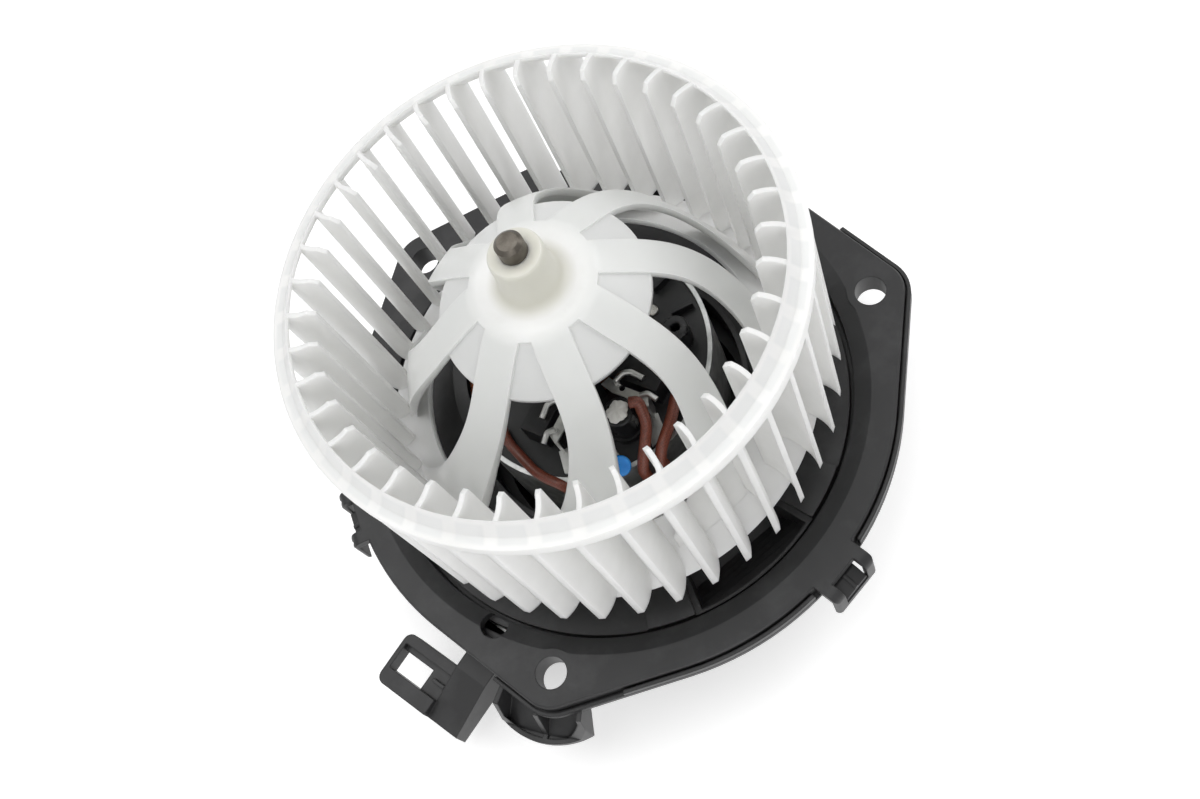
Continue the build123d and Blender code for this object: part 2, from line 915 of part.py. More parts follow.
# Pad under the shaft's end, and the washers that turn with the shaft
with BuildPart() as thrust_pad:
    with Locations((0, 0, rear_base)):
        Cylinder(
            shaft_radius,
            shaft_bottom - loose_gap - rear_base,
            align=(Align.CENTER, Align.CENTER, Align.MIN),
        )
save(thrust_pad.part, "thrust_pad")

with BuildPart() as thrust_washers:
    for base in (commutator_top + seat_gap, rear_base + bearing_length + loose_gap):
        with BuildSketch(plan(base)):
            Circle(washer_radius)
            Circle(shaft_radius, mode=Mode.SUBTRACT)
        extrude(amount=washer_thickness)
save(thrust_washers.part, "thrust_washers")

# Suppression capacitor in its cradle, with a cap of glue
with BuildPart() as suppression_capacitor:
    with Locations((*capacitor_place, card_level + seat_gap)):
        Cylinder(
            capacitor_radius,
            capacitor_top - card_level,
            align=(Align.CENTER, Align.CENTER, Align.MIN),
        )
    fillet(suppression_capacitor.edges().group_by(Axis.Z)[-1], capacitor_edge)
save(suppression_capacitor.part, "suppression_capacitor")

with BuildPart() as capacitor_glue:
    with Locations((*capacitor_place, capacitor_top + 2 * seat_gap)):
        Cylinder(
            capacitor_radius - capacitor_edge,
            glue_height,
            align=(Align.CENTER, Align.CENTER, Align.MIN),
        )
    fillet(capacitor_glue.edges().group_by(Axis.Z)[-1], glue_height * bend_share)
save(capacitor_glue.part, "capacitor_glue")

# Disc capacitor tilted outwards, with two legs down to the card
with BuildPart() as disc_capacitor:
    with Locations(Location(disc_place, (disc_tilt, 0, 0))):
        Cylinder(disc_radius, disc_thickness)
    fillet(disc_capacitor.edges().filter_by(GeomType.CIRCLE), disc_edge)
save(disc_capacitor.part, "disc_capacitor")

disc_x, disc_y, disc_z = disc_place
leg_reach = disc_radius + seat_gap
leg_y = disc_y + leg_reach * cos(radians(disc_tilt))
leg_z = disc_z + leg_reach * sin(radians(disc_tilt))
with BuildPart() as disc_capacitor_legs:
    for side in (-1, 1):
        leg_x = disc_x + side * disc_leg_spread
        with BuildLine() as leg:
            FilletPolyline(
                (leg_x, leg_y, leg_z),
                (leg_x, leg_y + disc_leg_run, leg_z),
                (leg_x, leg_y + disc_leg_run, card_level + seat_gap),
                radius=disc_leg_run * bend_share,
            )
        with BuildSketch(Plane(origin=leg.line @ 0, z_dir=leg.line % 0)):
            Circle(disc_wire)
        sweep(path=leg.line)
save(disc_capacitor_legs.part, "disc_capacitor_legs")

# Rod choke beside the edge of the card: turns of wire on a ferrite rod
choke_height = card_level + choke_radius + 2 * seat_gap
choke_place = lying(choke_angle, choke_height)
turn_pitch = 2 * choke_wire
turns = int(choke_length / turn_pitch)
rod_radius = choke_radius - 2 * choke_wire - 2 * seat_gap
with BuildPart() as choke_winding:
    with BuildSketch(choke_place):
        with Locations((choke_distance, 0)):
            with GridLocations(0, turn_pitch, 1, turns):
                with Locations((choke_radius - choke_wire, 0)):
                    Circle(choke_wire + seat_gap)
            with Locations((rod_radius + choke_wire / 2, 0)):
                Rectangle(choke_wire - 2 * seat_gap, choke_length - turn_pitch)
    choke_axis = Axis(choke_place.from_local_coords((choke_distance, 0, 0)), choke_place.y_dir)
    revolve(axis=choke_axis)
save(choke_winding.part, "choke_winding")

with BuildPart() as choke_rod:
    with BuildSketch(Plane(choke_axis.position, z_dir=choke_axis.direction)):
        Circle(rod_radius)
    extrude(amount=choke_length / 2 + choke_wire, both=True)
save(choke_rod.part, "choke_rod")

with BuildPart() as round_choke:
    with Locations((*round_choke_place, card_level + seat_gap)):
        Cylinder(
            round_choke_radius,
            round_choke_height,
            align=(Align.CENTER, Align.CENTER, Align.MIN),
        )
        Cylinder(
            rod_radius,
            round_choke_height,
            align=(Align.CENTER, Align.CENTER, Align.MIN),
            mode=Mode.SUBTRACT,
        )
    fillet(round_choke.edges().group_by(Axis.Z)[-1], capacitor_edge)
save(round_choke.part, "round_choke")

# Leads, from the card over the yoke's edge, down beside it and out to the terminals
lead_paths = []
tube_paths = []
for plan_points, side in zip(lead_plans, terminal_sides):
    over = [(*point, lead_level) for point in plan_points[1 : lead_drop_index + 1]]
    under = [(*point, chamber_level) for point in plan_points[lead_drop_index:]]
    lead_end = (terminal_root - wire_radius / 2 - seat_gap, side, 0)
    end = lying(bracket_angle, chamber_level).from_local_coords(lead_end)
    start = (*plan_points[0], lead_start)
    lead_paths.append([start, *over, *under, (end.X, end.Y, end.Z)])
    tube_paths.append([start, *over, (*plan_points[lead_drop_index], tube_end)])

for name, points in zip(("supply_lead", "return_lead"), lead_paths):
    radii = bend_radii(points)
    print(name, "bend radii", [round(radius, 2) for radius in radii])
    with BuildPart() as lead:
        with BuildLine() as route:
            FilletPolyline(*points, radius=radii)
        with BuildSketch(Plane(origin=route.line @ 0, z_dir=route.line % 0)):
            Circle(wire_radius)
        sweep(path=route.line)
    print(name, "length", round(route.wire().length, 2), "volume", round(lead.part.volume, 2))
    save(lead.part, name)

# Wire from the capacitor over the yoke's edge to its outer wall
with BuildPart() as capacitor_lead:
    with BuildLine() as route:
        FilletPolyline(*ground_route, radius=bend_radii(ground_route))
    with BuildSketch(Plane(origin=route.line @ 0, z_dir=route.line % 0)):
        Circle(ground_wire)
    sweep(path=route.line)
save(capacitor_lead.part, "capacitor_lead")

# Sleeves over the upper part of both leads, and a wider one where the first goes down
with BuildPart() as lead_sleeves:
    for points, tube_radius in zip(tube_paths, tube_radii):
        with BuildLine() as route:
            FilletPolyline(*points, radius=bend_radii(points))
        with BuildSketch(Plane(origin=route.line @ 0, z_dir=route.line % 0)):
            Circle(tube_radius)
            Circle(wire_radius + tube_bore_gap, mode=Mode.SUBTRACT)
        sweep(path=route.line)
    ground_tube = [*ground_route[:-2], (*ground_route[-3][:2], ground_sleeve_end)]
    with BuildLine() as route:
        FilletPolyline(*ground_tube, radius=bend_radii(ground_tube))
    with BuildSketch(Plane(origin=route.line @ 0, z_dir=route.line % 0)):
        Circle(ground_sleeve)
        Circle(ground_wire + tube_bore_gap, mode=Mode.SUBTRACT)
    sweep(path=route.line)
    with BuildSketch(plan(upright_end)):
        with Locations(lead_plans[0][lead_drop_index]):
            Circle(upright_radius)
            Circle(tube_radii[0] + seat_gap, mode=Mode.SUBTRACT)
    extrude(amount=upright_top - upright_end)
save(lead_sleeves.part, "lead_sleeves")

# Ramp that leads the air down the mouth of the duct, with ridges across it
duct_start = duct_angle - duct_half_angle
duct_end = duct_angle + duct_half_angle
duct_floor = cover_top + seat_gap
ramp_run = (duct_outer_radius - ramp_toe_radius) / duct_ridges
ramp_fall = (floor_height - duct_floor) / duct_ridges
ramp_line = [(duct_outer_radius, floor_height)]
for ridge in range(duct_ridges):
    radius = duct_outer_radius - ridge * ramp_run
    height = floor_height - ridge * ramp_fall
    ramp_line.append((radius - ramp_run, height - ramp_fall / 2))
    ramp_line.append((radius - ramp_run, height - ramp_fall))
with BuildPart() as duct_ramp:
    with BuildSketch(radial(duct_angle)):
        with BuildLine():
            Polyline(
                *ramp_line,
                (floor_radius, duct_floor),
                (floor_radius, floor_height),
                close=True,
            )
        make_face()
    extrude(amount=duct_inner_radius, both=True)
    duct_plan = sector(duct_inner_radius, floor_radius, duct_start, duct_end)
    extrude(duct_plan, amount=cover_top, mode=Mode.INTERSECT)

# Flange housing: lugged plate with a skirt, stepped bowl, collar and duct mouth
bowl_foot = -groove_depth - floor_wall
bowl_outer = groove_radius + floor_wall
wall_angle = degrees(duct_wall / duct_inner_radius)
with BuildPart() as flange_housing:
    with BuildSketch():
        add(flange_outline())
    extrude(amount=-flange_depth)
    chamfer(flange_housing.faces().sort_by(Axis.Z)[-1].outer_wire().edges(), flange_edge)
    with BuildSketch(plan(-flange_depth)):
        add(flange_outline(-skirt_wall))
    extrude(amount=flange_depth - flange_plate, mode=Mode.SUBTRACT)
    with BuildSketch():
        Circle(step_radius)
    extrude(amount=-flange_plate, mode=Mode.SUBTRACT)
    bowl = section(
        (step_radius + skirt_wall, 0),
        (step_radius, 0),
        (groove_radius, -step_drop),
        (groove_radius, -groove_depth),
        (floor_radius, -groove_depth),
        (floor_radius, floor_height),
        (collar_radius + collar_wall, floor_height),
        (collar_radius + collar_wall, collar_top),
        (collar_radius, collar_top),
        (collar_radius, floor_height - floor_wall),
        (floor_radius - floor_wall, floor_height - floor_wall),
        (floor_radius - floor_wall, bowl_foot),
        (bowl_outer, bowl_foot),
        (bowl_outer, -flange_plate - step_drop),
        (step_radius + skirt_wall, -flange_plate),
    )
    revolve(bowl, axis=Axis.Z)
    # Walls of the duct below the floor, its mouth and its ramp
    with BuildSketch(plan(duct_floor)):
        add(sector(duct_inner_radius, floor_radius, duct_start - wall_angle, duct_end + wall_angle))
        add(sector(duct_inner_radius, floor_radius, duct_start, duct_end), mode=Mode.SUBTRACT)
    extrude(amount=floor_height - duct_floor)
    with BuildSketch(plan(floor_height)):
        add(sector(duct_inner_radius, duct_outer_radius, duct_start, duct_end))
    extrude(amount=-floor_wall, mode=Mode.SUBTRACT)
    add(duct_ramp.part)
    # Raised floor segments beside the mouth
    for start, end in segments:
        with BuildSketch(plan(floor_height)):
            add(sector(duct_inner_radius, floor_radius, start, end))
        extrude(amount=segment_rise)
    # Screw lugs
    for angle in lug_angles:
        with Locations((*polar(lug_circle, angle), 0)):
            Cylinder(screw_boss_radius, lug_depth, align=(Align.CENTER, Align.CENTER, Align.MAX))
            Hole(screw_radius)
    with Locations((*polar(notch_circle, notch_angle), 0)):
        Cylinder(
            notch_radius,
            flange_plate + step_drop,
            align=(Align.CENTER, Align.CENTER, Align.MAX),
            mode=Mode.SUBTRACT,
        )
    # Posts for the screws that hold the cover
    for angle in cover_screw_angles:
        with Locations((*polar(cover_screw_circle, angle), floor_height - floor_wall / 2)):
            Cylinder(
                cover_post_radius,
                floor_height - floor_wall / 2 - duct_floor,
                align=(Align.CENTER, Align.CENTER, Align.MAX),
            )
        with Locations((*polar(cover_screw_circle, angle), duct_floor)):
            Cylinder(
                cover_screw_radius,
                cover_screw_length,
                align=(Align.CENTER, Align.CENTER, Align.MIN),
                mode=Mode.SUBTRACT,
            )
    for angle, width, reach, flutes in clips:
        with Locations(Location((0, 0, 0), (0, 0, angle))):
            add(snap_tab(width, reach, flutes))
save(flange_housing.part, "flange_housing")

# Scoop under one lug: a tray with a middle rib, open at its foot
cover_foot = cover_top - cover_plate
skirt_top = -flange_depth - seat_gap
foot_limit = foot_middle[0] + foot_wall
with BuildPart() as scoop_pockets:
    with BuildSketch(plan(cover_foot)) as scoop_plan:
        with BuildLine():
            ThreePointArc(polar(*foot_start), polar(*foot_middle), polar(*foot_end))
            Polyline(
                polar(*foot_end),
                polar(foot_root, foot_end[1]),
                polar(foot_root, foot_start[1]),
                polar(*foot_start),
            )
        make_face()
        offset(amount=-foot_wall)
        with Locations(Location((0, 0, 0), (0, 0, foot_rib_angle))):
            Rectangle(foot_limit, foot_wall, align=(Align.MIN, Align.CENTER), mode=Mode.SUBTRACT)
    extrude(amount=-cover_foot)
    above_floor = section(
        (foot_root - foot_wall, 0),
        (foot_limit, 0),
        (foot_limit, foot_scoop_foot),
        (foot_rim, foot_scoop_foot),
        (foot_root - foot_wall, foot_scoop_top),
    )
    revolve(above_floor, axis=Axis.Z, mode=Mode.INTERSECT)

with BuildPart() as scoop:
    with BuildSketch(plan(cover_foot)):
        with BuildLine():
            ThreePointArc(polar(*foot_start), polar(*foot_middle), polar(*foot_end))
            Polyline(
                polar(*foot_end),
                polar(foot_root, foot_end[1]),
                polar(foot_root, foot_start[1]),
                polar(*foot_start),
            )
        make_face()
    extrude(amount=skirt_top - cover_foot)
    envelope = section(
        (foot_root - foot_wall, skirt_top),
        (foot_brow, skirt_top),
        (foot_rim, foot_rim_level),
        (foot_limit, foot_rim_level),
        (foot_limit, cover_foot),
        (foot_rim - foot_wall, cover_foot),
        (foot_root - foot_wall, foot_scoop_top - foot_wall),
    )
    revolve(envelope, axis=Axis.Z, mode=Mode.INTERSECT)
    add(scoop_pockets.part, mode=Mode.SUBTRACT)

# Lower cover: drum, ledge and lip round the housing's edge, motor cup, scoop and connector bracket
wall_top = -flange_plate - step_drop - seat_gap
ledge_foot = skirt_top - ledge_thickness
bowl_clearance = bowl_outer + loose_gap
boss_clearance = screw_boss_radius + loose_gap
frame_top = cover_top
with BuildPart() as lower_cover:
    with BuildSketch(plan(cover_foot)):
        add(drum_outline())
        Circle(cup_radius, mode=Mode.SUBTRACT)
    extrude(amount=cover_plate)
    with BuildSketch(plan(cover_foot)):
        add(drum_outline())
        add(drum_outline(cover_wall), mode=Mode.SUBTRACT)
    extrude(amount=wall_top - cover_foot)
    with BuildSketch(plan(ledge_foot)):
        add(flange_outline(skirt_gap + lip_wall))
        add(sector(0, foot_radius, ledge_start, lip_end), mode=Mode.INTERSECT)
        add(drum_outline(cover_wall), mode=Mode.SUBTRACT)
    extrude(amount=ledge_thickness)
    for start, end, top in ((ledge_start, lip_start, low_lip_top), (lip_start, lip_end, lip_top)):
        with BuildSketch(plan(ledge_foot)):
            add(flange_outline(skirt_gap + lip_wall))
            add(flange_outline(skirt_gap), mode=Mode.SUBTRACT)
            add(sector(0, foot_radius, start, end), mode=Mode.INTERSECT)
        extrude(amount=top - ledge_foot)
    # Line along the outside of the lip
    with BuildSketch(plan(lip_line_level)):
        add(flange_outline(skirt_gap + 2 * lip_wall))
        add(flange_outline(skirt_gap + lip_wall - lip_line_depth), mode=Mode.SUBTRACT)
    extrude(amount=-lip_line_width, mode=Mode.SUBTRACT)
    add(scoop.part)
    # Room for the housing's bowl and its screw bosses
    with Locations((0, 0, bowl_foot - loose_gap)):
        Cylinder(
            bowl_clearance,
            lip_top - bowl_foot + loose_gap,
            align=(Align.CENTER, Align.CENTER, Align.MIN),
            mode=Mode.SUBTRACT,
        )
    for angle in lug_angles:
        with Locations((*polar(lug_circle, angle), -lug_depth - loose_gap)):
            Cylinder(
                boss_clearance,
                lug_depth,
                align=(Align.CENTER, Align.CENTER, Align.MIN),
                mode=Mode.SUBTRACT,
            )
    cup = section(
        (cup_drain, cup_foot),
        (cup_radius + cup_wall, cup_foot),
        (cup_radius + cup_wall, cover_top),
        (cup_radius, cover_top),
        (cup_radius, cup_foot + cup_floor),
        (cup_drain, cup_foot + cup_floor),
    )
    revolve(cup, axis=Axis.Z)
    for rib in range(cup_rib_count):
        with BuildSketch(radial(rib * 360 / cup_rib_count)):
            with BuildLine():
                Polyline(
                    (cup_radius + cup_wall / 2, cover_foot + seat_gap),
                    (cup_rib_reach, cover_foot + seat_gap),
                    (cup_radius + cup_wall, cup_rib_foot),
                    (cup_radius + cup_wall / 2, cup_rib_foot),
                    close=True,
                )
            make_face()
        extrude(amount=cup_rib_wall / 2, both=True)
    # Connector bracket: an open frame beside the sloped shroud of the plug
    with BuildSketch(lying(bracket_angle, frame_top)):
        with Locations((frame_start, frame_side)):
            with Locations(((bracket_end - frame_start) / 2, (shroud_side - frame_side) / 2)):
                RectangleRounded(bracket_end - frame_start, shroud_side - frame_side, frame_round)
        with Locations((frame_start, shroud_near)):
            Rectangle(
                bracket_end - frame_start,
                shroud_side,
                align=(Align.MIN, Align.MIN),
                mode=Mode.SUBTRACT,
            )
    extrude(amount=-frame_height)
    with Locations(Location((0, 0, frame_top), (0, 0, bracket_angle))):
        with Locations((recess_start, recess_side, 0)):
            Box(
                window_end - recess_start,
                shroud_near - recess_side,
                frame_recess,
                align=(Align.MIN, Align.MIN, Align.MAX),
                mode=Mode.SUBTRACT,
            )
        with Locations((window_start, recess_side, 0)):
            Box(
                window_end - window_start,
                window_far - recess_side,
                frame_height,
                align=(Align.MIN, Align.MIN, Align.MAX),
                mode=Mode.SUBTRACT,
            )
        with Locations((recess_rib_place, shroud_near, -recess_rib_drop)):
            Box(
                recess_rib_width,
                recess_rib_length,
                frame_recess,
                align=(Align.CENTER, Align.MAX, Align.MAX),
            )
    with BuildSketch(radial(bracket_angle).offset(-shroud_side)):
        with BuildLine():
            Polyline(
                (bracket_root, frame_top + shroud_rise),
                (shroud_bend, frame_top + shroud_rise),
                (bracket_end, frame_top + shroud_rise - shroud_fall),
                (bracket_end, frame_top - shroud_height),
                (bracket_root, frame_top - shroud_height),
                close=True,
            )
        make_face()
    extrude(amount=shroud_side - shroud_near)
    with Locations(Location((0, 0, socket_foot), (0, 0, bracket_angle))):
        with Locations((shroud_back, shroud_near + shroud_wall, 0)):
            Box(
                bracket_end - shroud_back,
                shroud_side - shroud_near - 2 * shroud_wall,
                socket_top - socket_foot,
                align=(Align.MIN, Align.MIN, Align.MIN),
                mode=Mode.SUBTRACT,
            )
    slot_span = terminal_width + 2 * seat_gap
    slot_gap = terminal_thickness + 2 * seat_gap
    for side in terminal_sides:
        with Locations(Location((0, 0, terminal_level), (0, 0, bracket_angle))):
            with Locations((terminal_root - seat_gap, side, -seat_gap)):
                Box(
                    shroud_back - terminal_root + 2 * seat_gap,
                    slot_span,
                    slot_gap,
                    align=(Align.MIN, Align.CENTER, Align.MIN),
                    mode=Mode.SUBTRACT,
                )
                Box(
                    slot_gap,
                    slot_span,
                    cover_top + shroud_rise - terminal_level + 2 * seat_gap,
                    align=(Align.MIN, Align.CENTER, Align.MIN),
                    mode=Mode.SUBTRACT,
                )
    for angle in cover_screw_angles:
        with Locations((*polar(cover_screw_circle, angle), cover_top)):
            Cylinder(
                cover_screw_radius + seat_gap,
                2 * cover_plate,
                align=(Align.CENTER, Align.CENTER, Align.CENTER),
                mode=Mode.SUBTRACT,
            )
    # Gaps in the lip under the snap tabs, and the catches that enter them
    for angle, width, reach, flutes in clips:
        with Locations(Location((0, 0, 0), (0, 0, angle))):
            with Locations((clip_root, 0, skirt_top)):
                Box(
                    reach - clip_root,
                    width + 2 * clip_wall,
                    -skirt_top,
                    align=(Align.MIN, Align.CENTER, Align.MIN),
                    mode=Mode.SUBTRACT,
                )
            add(snap_catch(width, reach))
save(lower_cover.part, "lower_cover")

# Rubber pads between the yoke and its cup
with BuildPart() as damper_pads:
    with BuildSketch(plan(damper_foot)):
        damper_half = degrees(damper_width / cup_radius) / 2
        for pad in range(damper_count):
            middle = damper_phase + pad * 360 / damper_count
            pad_plan = sector(
                yoke_radius + seat_gap,
                cup_radius - seat_gap,
                middle - damper_half,
                middle + damper_half,
            )
            add(pad_plan)
    extrude(amount=damper_height)
save(damper_pads.part, "damper_pads")

# Bent plug blades that the leads end on
with BuildPart() as motor_terminals:
    for side in terminal_sides:
        with Locations(Location((0, 0, terminal_level), (0, 0, bracket_angle))):
            with Locations((terminal_root, side, 0)):
                Box(
                    terminal_end - terminal_root,
                    terminal_width,
                    terminal_thickness,
                    align=(Align.MIN, Align.CENTER, Align.MIN),
                )
                Box(
                    terminal_thickness,
                    terminal_width,
                    chamber_level + terminal_rise - terminal_level,
                    align=(Align.MIN, Align.CENTER, Align.MIN),
                )
save(motor_terminals.part, "motor_terminals")

# Screws that hold the cover, driven from below
with BuildPart() as cover_screws:
    for angle in cover_screw_angles:
        with Locations((*polar(cover_screw_circle, angle), cover_foot - seat_gap)):
            Cylinder(
                cover_screw_head,
                cover_screw_head_height,
                align=(Align.CENTER, Align.CENTER, Align.MAX),
            )
            Cylinder(
                cover_screw_radius - seat_gap,
                cover_screw_length,
                align=(Align.CENTER, Align.CENTER, Align.MIN),
            )
        with Locations((*polar(cover_screw_circle, angle), cover_foot - cover_screw_head_height)):
            Box(cover_screw_head, cover_screw_slot, cover_screw_slot, mode=Mode.SUBTRACT)
            Box(cover_screw_slot, cover_screw_head, cover_screw_slot, mode=Mode.SUBTRACT)
save(cover_screws.part, "cover_screws")
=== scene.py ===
"""Looks of a car cabin blower: a milky fan wheel on a motor, in a black moulded housing.

Metres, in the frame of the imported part: the motor axis is +Z and the flange's face is at Z 0.
"""

import json
import math

import bmesh
import bpy
import numpy as np
from mathutils import Matrix, Vector


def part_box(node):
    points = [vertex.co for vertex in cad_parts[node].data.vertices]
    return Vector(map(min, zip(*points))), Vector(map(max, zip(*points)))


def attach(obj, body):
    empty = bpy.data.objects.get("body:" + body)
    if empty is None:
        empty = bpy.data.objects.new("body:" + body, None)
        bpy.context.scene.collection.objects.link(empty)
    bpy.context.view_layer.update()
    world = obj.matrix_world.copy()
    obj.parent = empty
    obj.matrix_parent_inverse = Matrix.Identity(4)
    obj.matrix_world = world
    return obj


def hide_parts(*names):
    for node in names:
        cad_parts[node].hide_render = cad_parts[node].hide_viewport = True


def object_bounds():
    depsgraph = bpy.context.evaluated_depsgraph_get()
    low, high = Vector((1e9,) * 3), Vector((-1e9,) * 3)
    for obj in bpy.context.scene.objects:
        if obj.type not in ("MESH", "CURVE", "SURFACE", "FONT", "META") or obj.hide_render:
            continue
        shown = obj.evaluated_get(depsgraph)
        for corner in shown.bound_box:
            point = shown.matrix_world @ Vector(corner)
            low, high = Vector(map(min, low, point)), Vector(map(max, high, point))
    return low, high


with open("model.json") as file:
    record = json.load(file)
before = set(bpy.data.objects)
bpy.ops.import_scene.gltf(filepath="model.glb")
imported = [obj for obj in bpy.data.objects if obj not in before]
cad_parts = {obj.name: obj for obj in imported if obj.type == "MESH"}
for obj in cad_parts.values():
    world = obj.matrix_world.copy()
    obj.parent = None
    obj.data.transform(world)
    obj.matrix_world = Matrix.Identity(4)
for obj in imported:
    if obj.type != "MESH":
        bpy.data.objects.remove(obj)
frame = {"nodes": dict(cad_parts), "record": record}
cad_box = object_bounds()
MM = 0.001
BLADES = 40
GAP_TURN = math.radians(3.4)  # where the middle of a gap between two blades lies


# Colour, node and mesh helpers


def linear(code):
    """An sRGB hex colour as linear red, green, blue and alpha."""
    parts = [int(code[i : i + 2], 16) / 255 for i in (1, 3, 5)]
    return [c / 12.92 if c <= 0.04045 else ((c + 0.055) / 1.055) ** 2.4 for c in parts] + [1.0]


def add_node(tree, kind, settings=(), links=()):
    """Adds a node, sets its properties and inputs, wires its inputs, and returns its outputs."""
    made = tree.nodes.new("ShaderNode" + kind)
    for name, value in dict(settings).items():
        if isinstance(name, str) and name in made.bl_rna.properties:
            setattr(made, name, value)
        else:
            made.inputs[name].default_value = value
    for name, source in dict(links).items():
        tree.links.new(source, made.inputs[name])
    return made.outputs


def blank_material(name):
    """An empty material, its tree and its Object coordinates."""
    material = bpy.data.materials.new(name)
    material.use_nodes = True
    material.node_tree.nodes.clear()
    place = add_node(material.node_tree, "TexCoord")["Object"]
    return material, material.node_tree, place


def mesh_piece(name, points, rows, columns, closed_rows, closed_columns, material):
    """A surface from a grid of points: each cell between two rows and two columns is one face."""
    index = np.arange(rows * columns).reshape(rows, columns)
    if closed_rows:
        index = np.vstack([index, index[:1]])
    if closed_columns:
        index = np.hstack([index, index[:, :1]])
    faces = np.stack([index[:-1, :-1], index[:-1, 1:], index[1:, 1:], index[1:, :-1]], axis=-1)
    mesh = bpy.data.meshes.new(name)
    mesh.from_pydata(points.reshape(-1, 3).tolist(), [], faces.reshape(-1, 4).tolist())
    mesh.validate()
    mesh.shade_smooth()
    mesh.materials.append(material)
    piece = bpy.data.objects.new(name, mesh)
    bpy.context.scene.collection.objects.link(piece)
    return piece


# Materials, each named for what the real piece is made of


def natural_polypropylene():
    """Unpigmented PP from a polished mould: waxy, light comes through, thick boss a shade yellower.

    Painted shade: the cap and the arms over the dark motor are painted greyer, and the thick boss is
    painted darker besides its own yellower tint. The gaps between the forty blades are painted on
    the top ring as soft grey fields of shade, as if they showed through, and thin edges are painted
    lighter as a highlight.
    """
    material, tree, place = blank_material("natural_polypropylene")
    # milky clouds 16 mm across
    cloud = add_node(
        tree, "TexNoise", {"Scale": 1 / (16 * MM), "Detail": 3.0}, {"Vector": place}
    )["Fac"]
    cloudy = add_node(
        tree, "MapRange", {"From Min": 0.35, "From Max": 0.65}, {"Value": cloud}
    )["Result"]
    wall = add_node(
        tree, "Mix", {"data_type": "RGBA", 6: linear("#EDEDEB"), 7: linear("#F3F3F1")}, {0: cloudy}
    )[2]
    # the thick boss: a shade yellower, which is its plastic's own tint, and painted shade that makes
    # it darker
    flat_place = add_node(
        tree, "VectorMath", {"operation": "MULTIPLY", 1: (1, 1, 0)}, {0: place}
    )[0]
    from_axis = add_node(tree, "VectorMath", {"operation": "LENGTH"}, {0: flat_place})["Value"]
    thick = add_node(
        tree, "MapRange", {"From Min": 13 * MM, "From Max": 9 * MM}, {"Value": from_axis}
    )["Result"]
    wall = add_node(
        tree, "Mix", {"data_type": "RGBA", 7: linear("#D6D5CB")}, {0: thick, 6: wall}
    )[2]
    # painted shade: the cap and the arms over the dark motor are painted greyer
    past_hub = add_node(
        tree,
        "MapRange",
        {"From Min": 12 * MM, "From Max": 20 * MM, "To Max": 0.75},
        {"Value": from_axis},
    )["Result"]
    before_blades = add_node(
        tree, "MapRange", {"From Min": 60 * MM, "From Max": 52 * MM}, {"Value": from_axis}
    )["Result"]
    painted_shade_over_motor = add_node(
        tree, "Math", {"operation": "MULTIPLY"}, {0: past_hub, 1: before_blades}
    )[0]
    wall = add_node(
        tree, "Mix", {"data_type": "RGBA", 7: linear("#DADCDA")}, {0: painted_shade_over_motor, 6: wall}
    )[2]
    # painted shade: the gaps between the blades, as if seen through the top ring, are painted on it
    # as grey fields
    axes = add_node(tree, "SeparateXYZ", (), {"Vector": place})
    turn = add_node(tree, "Math", {"operation": "ARCTAN2"}, {0: axes["Y"], 1: axes["X"]})[0]
    blade_turn = add_node(
        tree, "Math", {"operation": "MULTIPLY_ADD", 1: BLADES, 2: -BLADES * GAP_TURN}, {0: turn}
    )[0]
    swing = add_node(tree, "Math", {"operation": "COSINE"}, {0: blade_turn})[0]
    between = add_node(
        tree, "MapRange", {"From Min": -0.75, "From Max": -0.35}, {"Value": swing}
    )["Result"]
    outside = add_node(
        tree, "MapRange", {"From Min": 70.2 * MM, "From Max": 70.8 * MM}, {"Value": from_axis}
    )["Result"]
    inside = add_node(
        tree, "MapRange", {"From Min": 75.2 * MM, "From Max": 74.4 * MM}, {"Value": from_axis}
    )["Result"]
    above = add_node(
        tree, "MapRange", {"From Min": 84.0 * MM, "From Max": 84.5 * MM}, {"Value": axes["Z"]}
    )["Result"]
    band = add_node(tree, "Math", {"operation": "MULTIPLY"}, {0: outside, 1: inside})[0]
    band = add_node(tree, "Math", {"operation": "MULTIPLY"}, {0: band, 1: above})[0]
    painted_gap_shade = add_node(tree, "Math", {"operation": "MULTIPLY"}, {0: band, 1: between})[0]
    colour = add_node(
        tree, "Mix", {"data_type": "RGBA", 7: linear("#E7E8E7")}, {0: painted_gap_shade, 6: wall}
    )[2]
    # shine from a polished mould, uneven over 3 mm
    haze = add_node(
        tree, "TexNoise", {"Scale": 1 / (3 * MM), "Detail": 2.0}, {"Vector": place}
    )["Fac"]
    sheen = add_node(
        tree,
        "MapRange",
        {"From Min": 0.3, "From Max": 0.7, "To Min": 0.34, "To Max": 0.44},
        {"Value": haze},
    )["Result"]
    # painted highlight on edges: where the rounded normal leaves the flat one, the colour is painted
    # lighter, as if more light came out
    rounded = add_node(tree, "Bevel", {"samples": 4, "Radius": 0.5 * MM})["Normal"]
    facing = add_node(tree, "NewGeometry")["Normal"]
    turned = add_node(
        tree, "VectorMath", {"operation": "DOT_PRODUCT"}, {0: rounded, 1: facing}
    )["Value"]
    edge = add_node(
        tree, "MapRange", {"From Min": 0.985, "From Max": 0.8, "To Max": 0.75}, {"Value": turned}
    )["Result"]
    colour = add_node(
        tree, "Mix", {"data_type": "RGBA", 7: linear("#FAFAF8")}, {0: edge, 6: colour}
    )[2]
